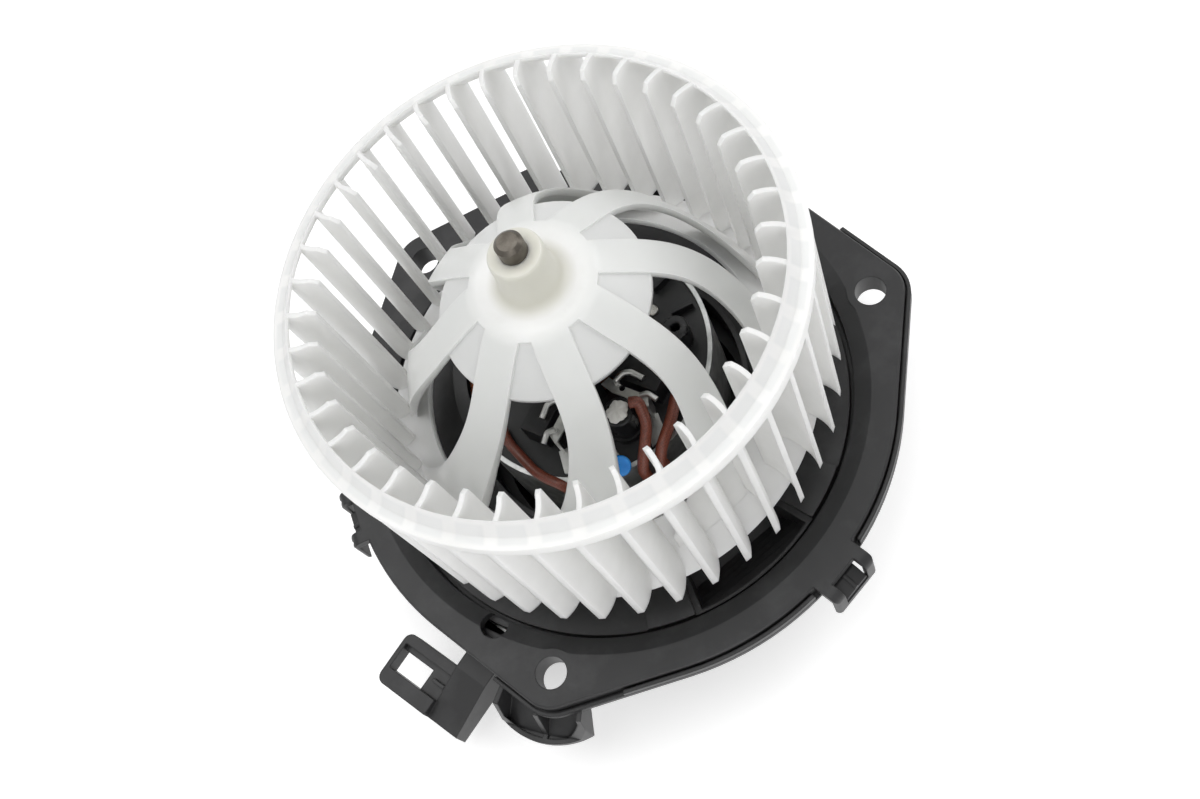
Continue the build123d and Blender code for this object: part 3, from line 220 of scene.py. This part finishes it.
    # a skin that is uneven over 1.2 mm
    skin = add_node(tree, "TexNoise", {"Scale": 1 / (1.2 * MM)}, {"Vector": place})["Fac"]
    relief = add_node(
        tree, "Bump", {"Distance": 0.02 * MM, "Strength": 0.25}, {"Height": skin, "Normal": rounded}
    )["Normal"]
    shader = add_node(
        tree,
        "BsdfPrincipled",
        {
            "IOR": 1.49,
            "Subsurface Weight": 1.0,
            "Subsurface Radius": (1.0, 1.0, 0.97),
            "Subsurface Scale": 4.0 * MM,
        },
        {"Base Color": colour, "Roughness": sheen, "Normal": relief},
    )["BSDF"]
    add_node(tree, "OutputMaterial", (), {"Surface": shader})
    return material


def black_polypropylene():
    """Talc-filled black PP, spark-eroded mould: smooth satin, a few pale rub marks, soft edges."""
    material, tree, place = blank_material("black_polypropylene")
    smear = add_node(
        tree,
        "TexNoise",
        {"Scale": 1 / (22 * MM), "Detail": 6.0, "Roughness": 0.62},
        {"Vector": place},
    )["Fac"]
    rubbed = add_node(
        tree, "MapRange", {"From Min": 0.5, "From Max": 0.8}, {"Value": smear}
    )["Result"]
    colour = add_node(
        tree, "Mix", {"data_type": "RGBA", 6: linear("#232324"), 7: linear("#3A3A3B")}, {0: rubbed}
    )[2]
    patch = add_node(
        tree, "TexNoise", {"Scale": 1 / (12 * MM), "Detail": 2.0}, {"Vector": place}
    )["Fac"]
    sheen = add_node(
        tree,
        "MapRange",
        {"From Min": 0.3, "From Max": 0.7, "To Min": 0.38, "To Max": 0.46},
        {"Value": patch},
    )["Result"]
    rounded = add_node(tree, "Bevel", {"samples": 4, "Radius": 0.6 * MM})["Normal"]
    grain = add_node(
        tree, "TexNoise", {"Scale": 1 / (0.5 * MM), "Detail": 1.0}, {"Vector": place}
    )["Fac"]
    relief = add_node(
        tree, "Bump", {"Distance": 0.02 * MM, "Strength": 0.3}, {"Height": grain, "Normal": rounded}
    )["Normal"]
    shader = add_node(
        tree,
        "BsdfPrincipled",
        {"IOR": 1.5},
        {"Base Color": colour, "Roughness": sheen, "Normal": relief},
    )["BSDF"]
    add_node(tree, "OutputMaterial", (), {"Surface": shader})
    return material


def moulded_finish(name, dark, light, roughness, grain_mm, edge_mm=0.2, surface=()):
    """A cast or moulded piece: a faint mottle between two shades, a fine grain, rounded edges."""
    material, tree, place = blank_material(name)
    mottle = add_node(
        tree, "TexNoise", {"Scale": 1 / (grain_mm * 8 * MM)}, {"Vector": place}
    )["Fac"]
    spread = add_node(
        tree, "MapRange", {"From Min": 0.35, "From Max": 0.65}, {"Value": mottle}
    )["Result"]
    colour = add_node(
        tree, "Mix", {"data_type": "RGBA", 6: linear(dark), 7: linear(light)}, {0: spread}
    )[2]
    sheen = add_node(
        tree,
        "MapRange",
        {"From Min": 0.3, "From Max": 0.7, "To Min": roughness - 0.05, "To Max": roughness + 0.05},
        {"Value": mottle},
    )["Result"]
    rounded = add_node(tree, "Bevel", {"samples": 4, "Radius": edge_mm * MM})["Normal"]
    grain = add_node(tree, "TexNoise", {"Scale": 1 / (grain_mm * MM)}, {"Vector": place})["Fac"]
    relief = add_node(
        tree, "Bump", {"Distance": 0.02 * MM, "Strength": 0.3}, {"Height": grain, "Normal": rounded}
    )["Normal"]
    shader = add_node(
        tree,
        "BsdfPrincipled",
        dict(surface),
        {"Base Color": colour, "Roughness": sheen, "Normal": relief},
    )["BSDF"]
    add_node(tree, "OutputMaterial", (), {"Surface": shader})
    return material


def metal_finish(name, dark, light, roughness, stretch=(1, 1, 1), scratch_mm=0.6, depth_mm=0.008):
    """Bare or plated metal: patches between two shades, scratches drawn out along one direction."""
    material, tree, place = blank_material(name)
    patch = add_node(
        tree, "TexNoise", {"Scale": 1 / (5 * MM), "Detail": 4.0}, {"Vector": place}
    )["Fac"]
    spread = add_node(
        tree, "MapRange", {"From Min": 0.35, "From Max": 0.7}, {"Value": patch}
    )["Result"]
    colour = add_node(
        tree, "Mix", {"data_type": "RGBA", 6: linear(light), 7: linear(dark)}, {0: spread}
    )[2]
    drawn = add_node(tree, "Mapping", {"Scale": stretch}, {"Vector": place})["Vector"]
    scratch = add_node(tree, "TexNoise", {"Scale": 1 / (scratch_mm * MM)}, {"Vector": drawn})["Fac"]
    sheen = add_node(
        tree,
        "MapRange",
        {"From Min": 0.3, "From Max": 0.7, "To Min": roughness - 0.06, "To Max": roughness + 0.08},
        {"Value": scratch},
    )["Result"]
    rounded = add_node(tree, "Bevel", {"samples": 4, "Radius": 0.15 * MM})["Normal"]
    relief = add_node(
        tree,
        "Bump",
        {"Distance": depth_mm * MM, "Strength": 0.3},
        {"Height": scratch, "Normal": rounded},
    )["Normal"]
    shader = add_node(
        tree,
        "BsdfPrincipled",
        {"Metallic": 1.0},
        {"Base Color": colour, "Roughness": sheen, "Normal": relief},
    )["BSDF"]
    add_node(tree, "OutputMaterial", (), {"Surface": shader})
    return material


def laminated_steel():
    """Punched sheets 0.5 mm thick: level lines round the core, dull and dark.

    The wave repeats each 2 pi x 0.5 mm, so its lines are coarser than the sheets and still show.
    """
    material, tree, place = blank_material("laminated_steel")
    sheets = add_node(
        tree,
        "TexWave",
        {"bands_direction": "Z", "Scale": 1 / (0.5 * MM) / 20, "Distortion": 0.2},
        {"Vector": place},
    )["Fac"]
    colour = add_node(
        tree, "Mix", {"data_type": "RGBA", 6: linear("#3A3A3C"), 7: linear("#5C5C5F")}, {0: sheets}
    )[2]
    relief = add_node(
        tree, "Bump", {"Distance": 0.05 * MM, "Strength": 0.5}, {"Height": sheets}
    )["Normal"]
    shader = add_node(
        tree,
        "BsdfPrincipled",
        {"Metallic": 1.0, "Roughness": 0.5},
        {"Base Color": colour, "Normal": relief},
    )["BSDF"]
    add_node(tree, "OutputMaterial", (), {"Surface": shader})
    return material


def enamelled_copper(name, dark, light):
    """Varnished winding wire 0.7 mm thick: rows of wire under a glossy coat.

    The wave repeats each 2 pi x 0.7 mm, so its rows are coarser than the wire and still show.
    """
    material, tree, place = blank_material(name)
    rows = add_node(
        tree,
        "TexWave",
        {
            "wave_type": "RINGS",
            "rings_direction": "Z",
            "Scale": 1 / (0.7 * MM) / 20,
            "Distortion": 1.5,
        },
        {"Vector": place},
    )["Fac"]
    colour = add_node(
        tree, "Mix", {"data_type": "RGBA", 6: linear(dark), 7: linear(light)}, {0: rows}
    )[2]
    relief = add_node(
        tree, "Bump", {"Distance": 0.1 * MM, "Strength": 0.4}, {"Height": rows}
    )["Normal"]
    shader = add_node(
        tree,
        "BsdfPrincipled",
        {"Metallic": 0.7, "Roughness": 0.35, "Coat Weight": 0.6},
        {"Base Color": colour, "Normal": relief},
    )["BSDF"]
    add_node(tree, "OutputMaterial", (), {"Surface": shader})
    return material


def glass_sleeving():
    """Varnished braided glass sleeve, brown: a weave 0.6 mm apart, half filled with varnish."""
    material, tree, place = blank_material("glass_sleeving")
    weave = add_node(
        tree, "TexVoronoi", {"Scale": 1 / (0.6 * MM), "Randomness": 0.35}, {"Vector": place}
    )["Distance"]
    spread = add_node(
        tree, "MapRange", {"From Min": 0.1, "From Max": 0.7}, {"Value": weave}
    )["Result"]
    colour = add_node(
        tree, "Mix", {"data_type": "RGBA", 6: linear("#8C4834"), 7: linear("#673325")}, {0: spread}
    )[2]
    relief = add_node(
        tree, "Bump", {"Distance": 0.05 * MM, "Strength": 0.4}, {"Height": weave}
    )["Normal"]
    shader = add_node(
        tree,
        "BsdfPrincipled",
        {"Roughness": 0.4, "Coat Weight": 0.25, "Coat Roughness": 0.2},
        {"Base Color": colour, "Normal": relief},
    )["BSDF"]
    add_node(tree, "OutputMaterial", (), {"Surface": shader})
    return material


materials = {
    "natural_polypropylene": natural_polypropylene(),
    "black_polypropylene": black_polypropylene(),
    # ground bar: warm grey, with marks round it and a soft shine
    "ground_steel": metal_finish(
        "ground_steel", "#544F49", "#7C776F", 0.4, stretch=(1, 1, 6), scratch_mm=0.4, depth_mm=0.02
    ),
    "lamination_steel": laminated_steel(),
    "enamelled_copper": enamelled_copper("enamelled_copper", "#7A3A16", "#B4672F"),
    # turned bars: bright copper, with fine rings from the lathe
    "commutator_copper": metal_finish(
        "turned_copper", "#8E4A2C", "#C9825A", 0.3, stretch=(1, 1, 8)
    ),
    # moulded and unpainted: cream, satin
    "washer_polymer": moulded_finish("acetal_resin", "#CFC8B2", "#DDD7C4", 0.4, 0.5),
    # drawn can and screws, plated: light grey, drawn marks along the axis, a broad dull shine
    "zinc_plated_steel": metal_finish(
        "dull_zinc_plate", "#ADAFAE", "#D6D7D6", 0.38, stretch=(1, 1, 0.3)
    ),
    # pressed and fired: dark grey, dry, no shine
    "ferrite": moulded_finish("sintered_ferrite", "#2A2A2C", "#3A3A3D", 0.7, 0.3),
    # moulded with glass fibre: near black, satin, a fine grain
    "card_polymer": moulded_finish("glass_filled_nylon_black", "#131314", "#1C1C1E", 0.42, 0.5),
    # stamped and tinned: pale, with shallow wide marks from the press
    "tinned_brass": metal_finish(
        "stamped_steel_tin_plated", "#B2B2B0", "#DCDCDA", 0.36, scratch_mm=0.9
    ),
    # pressed and baked: black with a faint graphite shine
    "carbon": moulded_finish("pressed_carbon", "#1C1C1E", "#2B2B2E", 0.55, 0.25),
    # rolled strip and wire, bare: middle grey, fairly bright
    "spring_steel": metal_finish("bare_spring_steel", "#6A6A6C", "#8E8E90", 0.34),
    # pressed powder soaked in oil: brown gold, open pores, dull
    "sintered_bronze": metal_finish("sintered_bronze", "#6B4E2A", "#94703F", 0.5, scratch_mm=0.3),
    # cast case: black, smooth and rather glossy
    "capacitor_black": moulded_finish("epoxy_case_black", "#101012", "#1A1A1D", 0.3, 0.6),
    # cured silicone: white, wet shine, uneven skin
    "white_glue": moulded_finish(
        "silicone_adhesive_white", "#EDEBE4", "#FBFAF6", 0.3, 0.8, edge_mm=0.1
    ),
    # dipped coat: bright blue, glossy
    "capacitor_blue": moulded_finish("dipped_epoxy_blue", "#1E84E0", "#3AA0FA", 0.24, 0.5),
    # drawn wire, tinned: pale and bright
    "tinned_wire": metal_finish("tinned_copper_wire", "#9C9A96", "#CBC9C4", 0.3),
    "brown_sleeve": glass_sleeving(),
    # extruded PVC: an even colour with a soft shine
    "red_insulation": moulded_finish("pvc_insulation_red", "#9C1C14", "#B92A1E", 0.38, 0.4),
    "brown_insulation": moulded_finish("pvc_insulation_brown", "#45221A", "#5A2E22", 0.38, 0.4),
    # moulded rubber: black, matt
    "damper_rubber": moulded_finish("soft_rubber_black", "#19191A", "#242425", 0.6, 0.4),
}

for part in frame["record"]["subparts"]:
    shown = frame["nodes"][part["node"]]
    shown.data.materials.clear()
    shown.data.materials.append(materials[part["material_slot"]])


# Pieces that the solids only stand in for


def glue_blob():
    """Glue dabbed on the suppression capacitor and torn off at one side.

    The radius shrinks from an uneven rim to the middle as the cosine of the height angle, and the
    height grows as its sine; sines of the turn round the axis make the rim and the top uneven.
    """
    low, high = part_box("capacitor_glue")
    middle = (low + high) / 2
    turns, levels = 120, 40
    turn = np.linspace(0, 2 * math.pi, turns, endpoint=False)[None, :]
    rise = np.linspace(0.0, 1.0, levels)[:, None] ** 0.8
    rim = 0.84 + 0.07 * np.sin(2 * turn + 0.4) + 0.05 * np.sin(5 * turn + 1.0)
    rim = rim + 0.025 * np.sin(11 * turn)
    spread = np.cos(rise * math.pi / 2)
    dents = 1 - 0.16 * np.sin(3 * turn + 2.0) * spread - 0.10 * np.sin(7 * turn + 5 * rise) * spread
    radius = (high.x - low.x) / 2 * rim * spread
    height = low.z + (high.z - low.z) * np.sin(rise * math.pi / 2) * dents * 0.86
    points = np.stack(
        [
            middle.x + radius * np.cos(turn),
            middle.y + radius * np.sin(turn),
            np.broadcast_to(height, radius.shape),
        ],
        axis=-1,
    )
    blob = mesh_piece("glue_blob", points, levels, turns, False, True, materials["white_glue"])
    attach(blob, "housing")
    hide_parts("capacitor_glue")


def choke_coil():
    """Turns of varnished wire wound close on the ferrite rod.

    A circle of the wire's radius is carried along a helix: round the rod's axis by the turn angle,
    and along the axis in proportion to it.
    """
    low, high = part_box("choke_winding")
    middle = (low + high) / 2
    rod_turn = math.radians(158)  # the rod lies square to this direction
    along = np.array([-math.sin(rod_turn), math.cos(rod_turn), 0.0])
    side = np.array([math.cos(rod_turn), math.sin(rod_turn), 0.0])
    up = np.array([0.0, 0.0, 1.0])
    wire, coil, length, count = 0.56 * MM, 2.35 * MM, 10.6 * MM, 9
    steps_in_turn, facets = 40, 10
    steps = count * steps_in_turn
    turn = np.linspace(0, 2 * math.pi * count, steps)[:, None]
    round_wire = np.linspace(0, 2 * math.pi, facets, endpoint=False)[None, :]
    reach = coil + wire * np.cos(round_wire)
    shift = length * (turn / turn[-1, 0] - 0.5) + wire * np.sin(round_wire)
    spot = np.array([middle.x, middle.y, middle.z])
    points = (
        spot
        + (reach * np.cos(turn))[..., None] * side
        + (reach * np.sin(turn))[..., None] * up
        + shift[..., None] * along
    )
    caps = np.repeat(points[[0, -1]].mean(axis=1, keepdims=True), facets, axis=1)
    points = np.concatenate([caps[:1], points, caps[1:]])
    coil_piece = mesh_piece(
        "choke_coil", points, steps + 2, facets, False, True, materials["enamelled_copper"]
    )
    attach(coil_piece, "housing")
    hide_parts("choke_winding")


def fan_wheel():
    """The wheel with its top ring, its boss and the web round the boss shaped as on the real one.

    The solid's own triangles, merged, in millimetres. The ring's upper outer edge is lifted, so
    that its side is upright and its top a gentle slope. The web sinks by a smooth step of its
    radius. The old boss is cut away, and a turned profile joins the cut's edge to the bore's: a soft
    foot, a slight taper, a rounded rim. Each of its rows has the cut's own angles, so the skin stays
    closed.
    """
    solid = frame["nodes"]["blower_wheel"]
    shell = bmesh.new()
    shell.from_mesh(solid.data)
    bmesh.ops.remove_doubles(shell, verts=shell.verts, dist=0.002 * MM)
    merged = bpy.data.meshes.new("merged_wheel")
    shell.to_mesh(merged)
    shell.free()
    count = len(merged.vertices)
    points = np.empty(count * 3)
    merged.vertices.foreach_get("co", points)
    points = points.reshape(-1, 3) / MM
    faces = np.empty(len(merged.loops), dtype=int)
    merged.loops.foreach_get("vertex_index", faces)
    faces = faces.reshape(-1, 3)
    bpy.data.meshes.remove(merged)
    radius, height = np.hypot(points[:, 0], points[:, 1]), points[:, 2].copy()
    boss_inner, boss_outer, boss_foot = 8.5, 12.7, 88.3
    old_boss = (radius > boss_inner) & (radius < boss_outer) & (height > boss_foot)
    faces = faces[~old_boss[faces].any(axis=1)]
    ring_outer, ring_edge, ring_raised = 75.5, 82.1, 85.2
    rim = (radius > ring_outer) & (abs(height - ring_edge) < 0.3)
    points[rim, 2] = ring_raised
    bore, web_low, web_outer, web_run, web_drop = 4.5, 80.0, 18.5, 8.0, 3.6
    step = np.clip((web_outer - radius) / web_run, 0.0, 1.0)
    web = (height > web_low) & (radius > bore)
    points[:, 2] -= np.where(web, web_drop * step * step * (3 - 2 * step), 0.0)
    sides = np.sort(np.concatenate([faces[:, [0, 1]], faces[:, [1, 2]], faces[:, [2, 0]]]), axis=1)
    sides, uses = np.unique(sides, axis=0, return_counts=True)
    open_edge = np.unique(sides[uses == 1])
    foot = open_edge[radius[open_edge] > boss_inner]
    turn = np.arctan2(points[foot, 1], points[foot, 0])
    foot, turn = foot[np.argsort(turn)], np.sort(turn)
    profile = np.array(
        [
            (11.9, 85.32), (11.0, 85.48), (10.2, 85.78), (9.5, 86.25), (9.0, 86.9), (8.62, 87.8),
            (8.38, 88.9), (8.2, 90.5), (7.85, 99.2), (7.7, 99.85), (7.35, 100.35), (6.8, 100.56),
            (6.0, 100.6), (4.6, 100.6),
        ]
    )
    boss = np.stack(
        [
            profile[:, :1] * np.cos(turn),
            profile[:, :1] * np.sin(turn),
            np.repeat(profile[:, 1:], len(turn), axis=1),
        ],
        axis=-1,
    )
    index = np.vstack([foot, count + np.arange(len(profile) * len(turn)).reshape(len(profile), -1)])
    index = np.hstack([index, index[:, :1]])
    skirt = np.stack([index[:-1, :-1], index[:-1, 1:], index[1:, 1:], index[1:, :-1]], axis=-1)
    points = np.vstack([points, boss.reshape(-1, 3)]) * MM
    made = bpy.data.meshes.new("fan_wheel")
    made.from_pydata(points.tolist(), [], faces.tolist() + skirt.reshape(-1, 4).tolist())
    shell = bmesh.new()
    shell.from_mesh(made)
    bmesh.ops.delete(shell, geom=[v for v in shell.verts if not v.link_faces], context="VERTS")
    bmesh.ops.bridge_loops(shell, edges=[e for e in shell.edges if e.is_boundary])
    bmesh.ops.recalc_face_normals(shell, faces=shell.faces)
    shell.to_mesh(made)
    shell.free()
    made.shade_smooth()
    crease = math.radians(28)
    made.set_sharp_from_angle(angle=crease)
    made.materials.append(materials["natural_polypropylene"])
    piece = bpy.data.objects.new("fan_wheel", made)
    bpy.context.scene.collection.objects.link(piece)
    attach(piece, "rotor")
    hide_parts("blower_wheel")


glue_blob()
choke_coil()
fan_wheel()


# Floor, camera and light


def floor_sheet():
    """White paper under the part, level with the foot of the motor's cup; seen as almost white."""
    half, glow_seen = 3.0, 0.42
    corners = np.array([[-half, -half], [half, -half], [half, half], [-half, half]])
    mesh = bpy.data.meshes.new("floor_sheet")
    mesh.from_pydata([(x, y, cad_box[0].z) for x, y in corners], [], [(0, 1, 2, 3)])
    sheet = bpy.data.objects.new("floor_sheet", mesh)
    bpy.context.scene.collection.objects.link(sheet)
    material, tree, place = blank_material("white_paper")
    fibre = add_node(tree, "TexNoise", {"Scale": 1 / (30 * MM)}, {"Vector": place})["Fac"]
    colour = add_node(
        tree, "Mix", {"data_type": "RGBA", 6: linear("#F0F0F0"), 7: linear("#F5F5F5")}, {0: fibre}
    )[2]
    path = add_node(tree, "LightPath")
    seen = add_node(
        tree, "Math", {"operation": "MAXIMUM"}, {0: path["Is Camera Ray"], 1: path["Is Glossy Ray"]}
    )[0]
    glow = add_node(
        tree, "MapRange", {"To Min": 0.0, "To Max": glow_seen}, {"Value": seen}
    )["Result"]
    shader = add_node(
        tree,
        "BsdfPrincipled",
        {"Roughness": 0.9, "Specular IOR Level": 0.1, "Emission Color": linear("#FFFFFF")},
        {"Base Color": colour, "Emission Strength": glow},
    )["BSDF"]
    add_node(tree, "OutputMaterial", (), {"Surface": shader})
    mesh.materials.append(material)


def area_light(name, place, target, size, power):
    """A square soft box that faces a point; metres and watts."""
    lamp = bpy.data.lights.new(name, "AREA")
    lamp.size = size
    lamp.energy = power
    made = bpy.data.objects.new(name, lamp)
    made.location = place
    made.rotation_mode = "QUATERNION"
    made.rotation_quaternion = (Vector(target) - Vector(place)).to_track_quat("-Z", "Y")
    bpy.context.scene.collection.objects.link(made)


def white_room():
    """White surroundings: seen as white, and lighting the part softly from all round."""
    light_given, white_seen = 0.57, 1.0
    world = bpy.data.worlds.new("white_room")
    world.use_nodes = True
    tree = world.node_tree
    tree.nodes.clear()
    path = add_node(tree, "LightPath")
    seen = add_node(
        tree,
        "Math",
        {"operation": "MAXIMUM"},
        {0: path["Is Camera Ray"], 1: path["Is Transmission Ray"]},
    )[0]
    strength = add_node(
        tree, "MapRange", {"To Min": light_given, "To Max": white_seen}, {"Value": seen}
    )["Result"]
    background = add_node(tree, "Background", {"Color": (1, 1, 1, 1)}, {"Strength": strength})[0]
    add_node(tree, "OutputWorld", (), {"Surface": background})
    bpy.context.scene.world = world


def photo_camera():
    """The camera where the photograph was taken from, with its right, up and back axes."""
    lens = bpy.data.cameras.new("photo_camera")
    lens.sensor_width = 36.0
    lens.lens = 41.39
    lens.clip_start, lens.clip_end = 0.01, 20.0
    camera = bpy.data.objects.new("photo_camera", lens)
    right = (0.83660389, -0.48507457, -0.25455174)
    up = (0.54776982, 0.74625318, 0.37822534)
    back = (0.00649255, -0.45586056, 0.89002753)
    turn = Matrix((right, up, back)).transposed().to_4x4()
    camera.matrix_world = Matrix.Translation((0.000128, -0.203024, 0.399584)) @ turn
    bpy.context.scene.collection.objects.link(camera)
    bpy.context.scene.camera = camera


floor_sheet()
white_room()
area_light("key_box", place=(-0.15, 0.18, 0.85), target=(0, 0, 0.03), size=0.8, power=3.1)
area_light("side_box", place=(0.70, 0.10, 0.55), target=(0, 0, 0.02), size=0.5, power=1.9)
area_light("front_box", place=(-0.2, -0.8, 0.45), target=(0, 0, 0.02), size=0.6, power=2.0)
photo_camera()
bpy.context.scene.view_settings.view_transform = "Standard"
